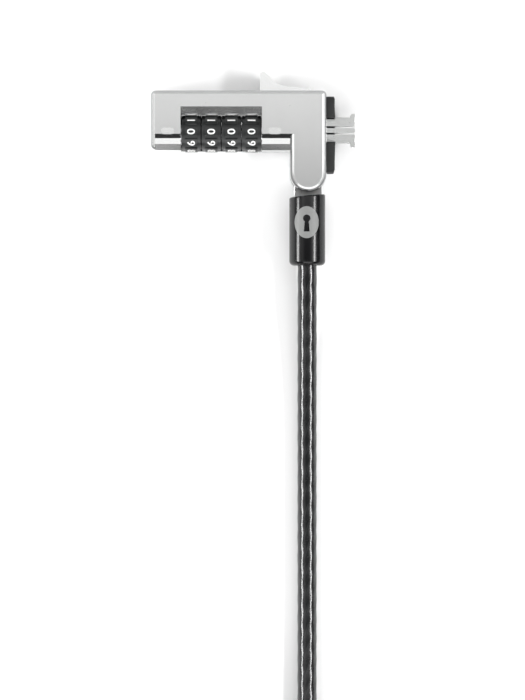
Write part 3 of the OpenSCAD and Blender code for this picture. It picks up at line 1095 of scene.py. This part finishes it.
@dataclass
class Cable:
    """The jacketed cable: out of its sleeve, along the surface, into a tied hank and an eye loop."""

    finishes: Finishes
    line_x: float = 17.6
    diameter: float = 5.0
    sleeve_end: float = -34.1
    exit_level: float = 5.55
    sides: int = 28
    pace: float = 1.0
    relief: float = 0.09
    run_route: tuple[Place, ...] = (
        (0, -31, 5.6), (0, -37, 5.5), (0, -45, 5), (0, -55, 3.9), (0, -65, 3), (0, -76, 2.6),
        (0, -90, 2.52), (0, -104, 2.52), (0, -118, 2.52), (0, -132, 2.52), (0, -146, 2.6), (0, -160, 2.8),
        (0, -173, 2.9),
    )
    tail_rise: tuple[Place, ...] = (
        (-35, -251, 12.9), (-35, -240, 13.2), (-35, -227, 14.8), (-35, -214, 16.8), (-35, -201, 18.3),
    )
    eye_route: tuple[Span, ...] = (
        (-35, -190), (-35, -180), (-34.4, -171), (-31.3, -164), (-26, -159.5), (-17.5, -157.5),
        (-9, -159.5), (-3.7, -164), (-0.6, -171), (-0.8, -180), (-3.5, -187), (-7.9, -194),
        (-12.6, -201), (-16.2, -207.5), (-17.35, -214), (-17.35, -226), (-15.2, -234), (-9, -242.5),
        (-2.5, -250), (0.3, -259), (-1.5, -268), (-7.5, -275.5), (-16, -279.2), (-24, -279.2),
        (-32.5, -275.5), (-38.5, -268), (-40.3, -259), (-37.5, -250), (-31, -242.5), (-24.8, -234),
        (-22.65, -226), (-22.65, -218), (-22.65, -210.5),
    )
    strap_low: Place = (-25.3, -255.0, 0.0)
    strap_high: Place = (20.55, -243.0, 15.8)
    strap_corner: float = 1.4
    strap_wall: float = 0.35
    eye_lines: Span = (-22.65, -17.35)
    eye_level: float = 18.5
    crimp_top: float = -210.0
    crimp_length: float = 16.0
    crimp_radius: float = 3.0
    waist_shares: tuple[float, ...] = (0.2, 0.5, 0.8)
    waist_cuts: tuple[float, ...] = (-1.2, -0.6, 0.6, 1.2)
    waist_half: float = 0.55
    waist_scale: Place = (0.95, 1.0, 0.9)
    hank: Hank = field(init=False)

    def __post_init__(self) -> None:
        """Places the hank in line with the cable's run."""
        self.hank = Hank(middle_x=self.line_x - 20.0)

    def curve(self, route: Sequence[Place]) -> list[Vector]:
        """A smooth line through a route's points.

        Args:
            route: Points as (distance from the exit line, y, z), in millimetres.

        Returns:
            Points about a pace apart, in metres.
        """
        knots = [Vector((self.line_x + x, y, z)) for x, y, z in route]
        last = len(knots) - 1
        line: list[Vector] = []
        for i in range(last):
            a, b, c, d = knots[max(i - 1, 0)], knots[i], knots[i + 1], knots[min(i + 2, last)]
            steps = max(1, round((c - b).length / self.pace))
            for k in range(steps):
                t = k / steps
                square, cube = 2 * a - 5 * b + 4 * c - d, 3 * b - a - 3 * c + d
                line.append(0.5 * (2 * b + (c - a) * t + square * t**2 + cube * t**3))
        line.append(knots[last])
        return [point * MM for point in line]

    def centre_line(self) -> list[Vector]:
        """Lays the whole cable.

        Returns:
            Its centre line, in metres.
        """
        turns = [Vector(point) * MM for point in self.hank.points()]
        tail = (*self.tail_rise, *((x, y, self.eye_level) for x, y in self.eye_route))
        return self.curve(self.run_route) + turns + self.curve(tail)[1:]

    def build_tube(self, line: list[Vector]) -> Piece:
        """The cable's skin: a tube with the slow twist of its strands in relief.

        Args:
            line: The centre line.

        Returns:
            The cable.
        """
        radius = self.diameter / 2 * MM
        jacket = StrandJacket()
        sides = self.sides
        far = [0.0]
        for first, last in zip(line, line[1:]):
            far.append(far[-1] + (last - first).length)
        points: list[Vector] = []
        for i, middle in enumerate(line):
            ahead = (line[min(i + 1, len(line) - 1)] - line[max(i - 1, 0)]).normalized()
            side = ahead.cross(Vector((0, 0, 1))).normalized()
            up = side.cross(ahead)
            for k in range(sides):
                angle = math.tau * k / sides
                wave = math.sin(jacket.strands * (angle + math.tau * far[i] / jacket.lay))
                reach = radius - self.relief * MM * (0.5 - 0.5 * wave)
                points.append(middle + reach * (math.cos(angle) * side + math.sin(angle) * up))
        faces = []
        for ring in range(0, (len(line) - 1) * sides, sides):
            for k in range(sides):
                after = (k + 1) % sides
                faces.append((ring + k, ring + after, ring + sides + after, ring + sides + k))
        faces.append(tuple(reversed(range(sides))))
        faces.append(tuple(range(len(points) - sides, len(points))))
        mesh = bpy.data.meshes.new("cable")
        mesh.from_pydata(points, [], faces)
        chart = mesh.uv_layers.new(name="along")
        for face in mesh.polygons:
            last_side = len(face.vertices) == 4 and face.index % sides == sides - 1
            for corner in face.loop_indices:
                ring, k = divmod(mesh.loops[corner].vertex_index, sides)
                chart.data[corner].uv = ((sides if last_side and k == 0 else k) / sides, far[ring])
        mesh.validate()
        mesh.shade_smooth()
        return Bench.add("cable", mesh)

    def build_strap(self) -> Piece:
        """Makes the tie round the hank, a thin woven band.

        Returns:
            The tie.
        """
        strap = Bench.block("hank_tie", self.strap_low, self.strap_high)
        Bench.edit(strap, lambda middle, normal: abs(normal.y) > STRAIGHT)
        bpy.ops.mesh.delete(type="FACE")
        Bench.round_edges(strap, lambda middle, way: abs(way.y) > STRAIGHT, self.strap_corner, 6)
        Bench.modify(strap, "SOLIDIFY", thickness=self.strap_wall * MM, offset=-1.0)
        Bench.ease(strap, 0.1, 2)
        Bench.smooth(strap)
        return strap

    def build_crimp(self) -> Piece:
        """Makes the pressed sleeve that closes the eye, an oval tube with three pressed waists.

        Returns:
            The crimp.
        """
        far, near = (self.line_x + x for x in self.eye_lines)
        top, z, radius = self.crimp_top, self.eye_level, self.crimp_radius
        low = (far - radius, top - self.crimp_length, z - radius)
        crimp = Bench.block("eye_crimp", low, (near + radius, top, z + radius))
        Bench.round_edges(crimp, lambda middle, way: abs(way.y) > STRAIGHT, radius - 0.05, 10)
        waists = [top - self.crimp_length * share for share in self.waist_shares]
        for waist in waists:
            for shift in self.waist_cuts:
                Bench.slice(crimp, (0.0, waist + shift, 0.0))
        for waist in waists:
            Bench.resize(
                crimp, self.waist_scale, ((near + far) / 2, waist, z),
                lambda middle, normal: abs(middle.y - waist) < self.waist_half and abs(normal.y) < 0.5,
            )
        Bench.ease(crimp, 0.25, 2, 50.0)
        Bench.smooth(crimp, 40.0)
        return crimp

    def build(self) -> None:
        line = self.centre_line()
        length = sum((last - first).length for first, last in zip(line, line[1:]))
        cable = Bench.finish(
            self.build_tube(line), self.finishes.jacket, Body.CABLE, "cable_jacket",
            "cable_run", "cable_hank", "cable_tail",
        )
        strap = Bench.finish(
            self.build_strap(), self.finishes.tape, Body.CABLE, "strap_black", "hank_strap"
        )
        crimp = Bench.finish(
            self.build_crimp(), self.finishes.crimp, Body.CABLE, "crimp_metal", "loop_ferrule"
        )
        log.info("cable: %.3f m long", length)


# Lock head


@dataclass
class Head:
    """The cast head: housing, back cover, screws and the steel block behind the jaws."""

    finishes: Finishes

    def build(self) -> None:
        """Dresses the head's nodes."""
        Bench.dress("housing", self.finishes.casting)
        Bench.dress("back_cover", self.finishes.plate, 0.12, 3)
        Bench.dress("cover_screws", self.finishes.screw, 0.05)
        Bench.dress("reset_screw", self.finishes.screw, 0.06)
        Bench.dress("nose_block", self.finishes.cast_steel, 0.08)
        Bench.dress("swivel_pin", self.finishes.pin, 0.1)


@dataclass
class DialStack:
    """Four dials with filled numerals, and the clutch train inside them."""

    finishes: Finishes
    count: int = 4
    pitch: float = 5.15
    middle_x: float = -4.45
    axis_z: float = 6.1
    radius: float = 5.0
    glyph_height: float = 2.0
    glyph_width: float = 1.4
    text_size: float = 3.0
    bolder: float = 0.03
    widening: float = 1.05
    raised: float = 0.02
    sunk: float = 0.06

    def centre(self, dial: int) -> float:
        """The middle of a dial along the bar, in millimetres."""
        return self.middle_x + (dial - (self.count + 1) / 2) * self.pitch

    def build_numeral(self, number: int) -> Piece:
        """One numeral, wrapped on the dial at its own step.

        Args:
            number: The numeral, from 0 to 9.

        Returns:
            The numeral on a dial whose middle is at x = 0.
        """
        Bench.clear()
        bpy.ops.object.text_add()
        text = bpy.context.object.data
        text.body = str(number)
        text.size = self.text_size * MM
        text.resolution_u = 5
        text.offset = self.bolder * MM
        text.extrude = (self.raised + self.sunk) / 2 * MM
        bpy.ops.object.convert(target="MESH")
        piece = bpy.context.object
        corners = [vertex.co for vertex in piece.data.vertices]
        low = Vector([min(corner[k] for corner in corners) for k in range(3)])
        high = Vector([max(corner[k] for corner in corners) for k in range(3)])
        size, middle = high - low, (low + high) / 2
        width = min(self.glyph_width, size.x / MM * self.widening) * MM
        base = (self.radius + (self.raised - self.sunk) / 2) * MM
        for vertex in piece.data.vertices:
            right = (vertex.co.x - middle.x) * width / size.x
            up = (vertex.co.y - middle.y) * self.glyph_height * MM / size.y
            reach = base + vertex.co.z
            angle = right / base
            vertex.co = Vector((up, -reach * math.sin(angle), reach * math.cos(angle)))
        step = Matrix.Rotation(-math.tau / 10 * number, 4, "X")
        piece.data.transform(Matrix.Translation((0.0, 0.0, self.axis_z * MM)) @ step)
        return piece

    def build_numerals(self) -> Piece:
        """Makes the ten numerals of one dial as one piece.

        Returns:
            The numerals, round x = 0.
        """
        digits = [self.build_numeral(number) for number in range(10)]
        Bench.clear()
        for digit in digits:
            digit.select_set(True)
        ring = bpy.context.view_layer.objects.active = digits[0]
        bpy.ops.object.join()
        Bench.edit(ring)
        bpy.ops.mesh.remove_doubles(threshold=0.000001)
        Bench.mend()
        Bench.smooth(ring, 30.0)
        return ring

    def build(self) -> None:
        """Makes the numerals and dresses the dials and the clutch train."""
        rings = [self.build_numerals()]
        for _ in range(1, self.count):
            rings.append(Bench.add("numerals", rings[0].data.copy()))
        for dial, ring in enumerate(rings, start=1):
            ring.name = ring.data.name = f"numerals_{dial}"
            ring.data.transform(Matrix.Translation((self.centre(dial) * MM, 0.0, 0.0)))
            Bench.finish(ring, self.finishes.ink, f"dial_body_{dial}", "dial_black")
            Bench.dress(f"dial_{dial}", self.finishes.dial, 0.09, 3)
            Bench.dress(f"clutch_ring_{dial}", self.finishes.brass, 0.04)
        for bush in ("bush_left", "bush_right"):
            Bench.dress(bush, self.finishes.brass, 0.05)
        Bench.dress("end_washers", self.finishes.shaft)
        Bench.dress("detent_spring", self.finishes.spring_steel, 0.03)


@dataclass
class ReleaseGear:
    """The thumb slider and what it draws back: carriage, spindle and spreader."""

    finishes: Finishes
    spring_start: float = -4.05
    spring_end: float = 10.45
    spring_y: float = 7.6
    spring_z: float = 5.6
    spring_radius: float = 1.2
    wire: float = 0.36
    wire_sides: int = 10
    turns: int = 9
    turn_steps: int = 18
    travel: float = 5.0

    def build_spring(self) -> Piece:
        """Makes the return spring: a round wire wound along the bar, closed at both ends.

        Returns:
            The spring.
        """
        Bench.clear()
        start = Vector((self.spring_start + self.wire / 2, self.spring_y, self.spring_z)) * MM
        radius = self.wire / 2 * MM
        bpy.ops.mesh.primitive_circle_add(vertices=self.wire_sides, radius=radius, location=start)
        spring = bpy.context.object
        bpy.ops.object.mode_set(mode="EDIT")
        bpy.ops.transform.translate(value=(0.0, self.spring_radius * MM, 0.0))
        Bench.clear()
        steps = self.turn_steps * self.turns
        Bench.modify(
            spring, "SCREW", axis="X", angle=math.tau * self.turns, steps=steps, render_steps=steps,
            use_normal_calculate=True,
            screw_offset=(self.spring_end - self.spring_start - self.wire) * MM,
        )
        Bench.activate(spring)
        bpy.ops.object.mode_set(mode="EDIT")
        bpy.context.tool_settings.mesh_select_mode = (False, True, False)
        bpy.ops.mesh.select_all(action="DESELECT")
        bpy.ops.mesh.select_non_manifold()
        bpy.ops.mesh.edge_face_add()
        Bench.mend()
        Bench.settle(spring, "return_spring")
        Bench.smooth(spring, 50.0)
        return spring

    def build(self) -> None:
        """Makes the spring and dresses the gear."""
        spring = Bench.finish(
            self.build_spring(), self.finishes.spring_steel, Body.LOCK, "spring_steel", "slide_spring"
        )
        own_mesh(spring)
        Bench.dress("thumb_slider", self.finishes.slider, 0.14, 3)
        Bench.dress("slide_carriage", self.finishes.cast_steel, 0.08)
        Bench.dress("slider_pin", self.finishes.pin, 0.05)
        Bench.dress("spindle", self.finishes.shaft, 0.05)
        Bench.dress("spindle_nut", self.finishes.brass, 0.06)
        Bench.dress("spreader_bar", self.finishes.jaw_steel, 0.12, 3)
        Bench.dress("spreader_rivet", self.finishes.pin, 0.05)


@dataclass
class LockingTip:
    """The hooked jaws and the rubber pad round them."""

    finishes: Finishes
    pad_low: Place = (22.5, -10.3, 1.0)
    pad_high: Place = (24.7, 9.1, 10.0)
    pad_corner: float = 1.0
    tip_y: float = 0.6
    notch_half: float = 3.15
    notch_z: float = 3.8
    crown: float = 0.25
    slices: int = 8
    end_reach: float = 1.3

    def build_pad(self) -> Piece:
        """Makes the rubber pad: a crowned block with round corners and a notch for the jaws.

        Returns:
            The pad.
        """
        low, high = self.pad_low, self.pad_high
        levels = [low[1] + (high[1] - low[1]) * k / self.slices for k in range(self.slices + 1)]
        pad = Bench.block("rubber_face_pad", low, high)
        Bench.round_edges(pad, lambda middle, way: abs(way.x) > STRAIGHT, self.pad_corner, 5)
        for y in levels[1:-1]:
            Bench.slice(pad, (0.0, y, 0.0))
        for k, y in enumerate(levels):
            share = 2 * k / self.slices - 1
            reach = CLOSE if 0 < k < self.slices else self.end_reach
            Bench.edit(
                pad,
                lambda middle, way: middle.x > high[0] - CLOSE and abs(middle.y - y) < reach
                and abs(way.y) < 0.95,
                edges=True,
            )
            bpy.ops.transform.translate(value=(-self.crown * share * share * MM, 0.0, 0.0))
            Bench.clear()
        notch_low = (low[0] - 1, self.tip_y - self.notch_half, self.notch_z)
        notch_high = (high[0] + 1, self.tip_y + self.notch_half, high[2] + 1)
        Bench.combine(pad, Bench.block("notch", notch_low, notch_high))
        Bench.ease(pad, 0.2, 3, 40.0)
        Bench.smooth(pad, 40.0)
        return pad

    def build(self) -> None:
        """Makes the pad and dresses the jaws."""
        Bench.finish(self.build_pad(), self.finishes.rubber, Body.LOCK, "black_rubber", "rubber_pad")
        for jaw in ("upper_jaw", "lower_jaw"):
            Bench.dress(jaw, self.finishes.jaw_steel, 0.12, 3)
        Bench.dress("jaw_pins", self.finishes.pin, 0.05)
        Bench.dress("jaw_spring", self.finishes.spring_steel, 0.03)


@dataclass
class CableEnd:
    """The pivoting end of the cable: tongue, ferrule and glossy sleeve with its mark."""

    finishes: Finishes
    line_x: float = 17.6
    level: float = 5.6
    radius: float = 4.62
    top: float = -16.2
    bottom: float = -34.1
    tilt: float = 5.4
    rim: float = 1.2
    lip: float = 0.4
    lip_depth: float = 0.8
    bores: tuple[Place, ...] = ((4.0, -17.9, -13.2), (3.36, -31.05, -17.5), (2.6, -35.1, -31.0))
    mark_x: float = 17.4
    mark_y: float = -23.1
    mark_half: float = 3.1
    mark_rise: float = 1.32
    mark_skin: float = 0.03
    bow_radius: float = 0.95
    bow_up: float = 1.0
    blade: tuple[Span, Span] = ((-0.5, -2.4), (0.5, 0.6))
    blade_flare: float = 1.5
    tool_top: float = 12.0

    def rod(self, name: str, radius: float, start: float, end: float, sides: int) -> Piece:
        """A rod on the cable's line, from one y to another.

        Args:
            name: The rod's name.
            radius: Its radius.
            start: The y of one end.
            end: The y of the other end.
            sides: How many sides it has.

        Returns:
            The rod.
        """
        ends = ((self.line_x, y, self.level) for y in (start, end))
        return Bench.rod(name, radius, *ends, sides)

    def build_sleeve(self) -> Piece:
        """Makes the moulded sleeve: a tube with a slanted mouth, a round lip and a rounded lower end.

        Returns:
            The sleeve.
        """
        sleeve = self.rod("moulded_sleeve", self.radius, self.bottom, self.top + 3, 112)
        lean = math.radians(self.tilt)
        Bench.slice(
            sleeve, (self.line_x, self.top, self.level), (-math.sin(lean), math.cos(lean), 0.0),
            use_fill=True, clear_outer=True,
        )
        Bench.round_edges(sleeve, lambda middle, way: abs(middle.y - self.bottom) < 0.02, self.rim, 7)
        Bench.round_edges(
            sleeve, lambda middle, way: middle.y > self.top - self.lip_depth and abs(way.y) < 0.5,
            self.lip, 5,
        )
        for radius, start, end in self.bores:
            Bench.combine(sleeve, self.rod("bore", radius, start, end, 96))
        Bench.smooth(sleeve, 32.0)
        return sleeve

    def build_mark(self) -> Piece:
        """Makes the printed mark: a plain oval with a keyhole left open, wrapped on the sleeve.

        Returns:
            The mark.
        """
        x, y, z = self.mark_x, self.mark_y, self.level
        mark = Bench.rod("keyhole_mark", self.mark_half, (x, y, z), (x, y, z + 8), 72)
        Bench.resize(mark, (1.0, self.mark_rise, 1.0), (x, y, 0.0))
        skin = self.rod("skin", self.radius + self.mark_skin, self.bottom + 2, self.top - 1, 224)
        core = self.rod("core", self.radius - self.mark_skin, self.bottom + 1, self.top, 224)
        Bench.combine(mark, skin, Cut.INTERSECT)
        Bench.combine(mark, core)
        bow_y = y + self.bow_up
        bow = Bench.rod("bow", self.bow_radius, (x, bow_y, z), (x, bow_y, self.tool_top), 40)
        (left, foot), (right, head) = self.blade
        blade = Bench.block("blade", (x + left, y + foot, z), (x + right, y + head, self.tool_top))
        Bench.resize(
            blade, (self.blade_flare, 1.0, 1.0), (x, 0.0, 0.0),
            lambda middle, normal: normal.y < -STRAIGHT,
        )
        Bench.combine(mark, bow)
        Bench.combine(mark, blade)
        Bench.smooth(mark, 30.0)
        return mark

    def build(self) -> None:
        """Makes the sleeve and its mark and dresses the metal inside."""
        Bench.finish(
            self.build_sleeve(), self.finishes.gloss, Body.SLEEVE, "sleeve_black", "cable_sleeve"
        )
        Bench.finish(self.build_mark(), self.finishes.badge, Body.SLEEVE, "sleeve_black")
        Bench.dress("swivel_tongue", self.finishes.tongue_steel, 0.12, 3)
        Bench.dress("tongue_rivet", self.finishes.pin, 0.08)
        Bench.dress("end_ferrule", self.finishes.crimp, 0.15)
        Bench.dress("cable_core", self.finishes.spring_steel, 0.08)


def main() -> None:
    """Builds the lock's looks, sub-assembly by sub-assembly."""
    logging.basicConfig(level=logging.INFO, format="%(message)s")
    finishes = Finishes()
    studio = Studio(finishes)
    studio.add_camera()
    Cable(finishes).build()
    studio.light()
    Head(finishes).build()
    DialStack(finishes).build()
    ReleaseGear(finishes).build()
    LockingTip(finishes).build()
    CableEnd(finishes).build()


if __name__ == "__main__":
    main()
